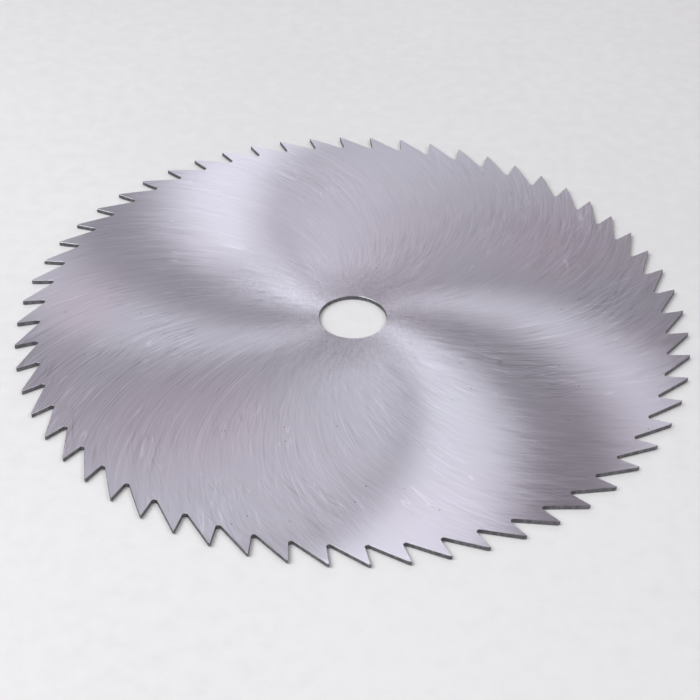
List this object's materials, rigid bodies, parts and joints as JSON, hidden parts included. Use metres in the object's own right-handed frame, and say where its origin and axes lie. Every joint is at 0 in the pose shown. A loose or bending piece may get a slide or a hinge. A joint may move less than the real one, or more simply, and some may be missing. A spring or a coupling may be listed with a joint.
{
  "type": "circular saw blade",
  "caption": "Flat circular saw blade: a thin ground steel plate with raked teeth cut into its rim and a plain round arbor bore.",
  "frame": {"origin": "on the blade's axis, at its lower face", "axes": "+Z along the axis, from the lower face to the upper; +X through the tip of one tooth. Seen from +Z the teeth point counter-clockwise"},
  "size_m": [0.25, 0.25, 0.0017],
  "materials": {
    "ground_steel": "bright steel, ground in curved lines that run out from the bore"
  },
  "bodies": {
    "root": {"saw_blade": "ground_steel"}
  },
  "joints": []
}
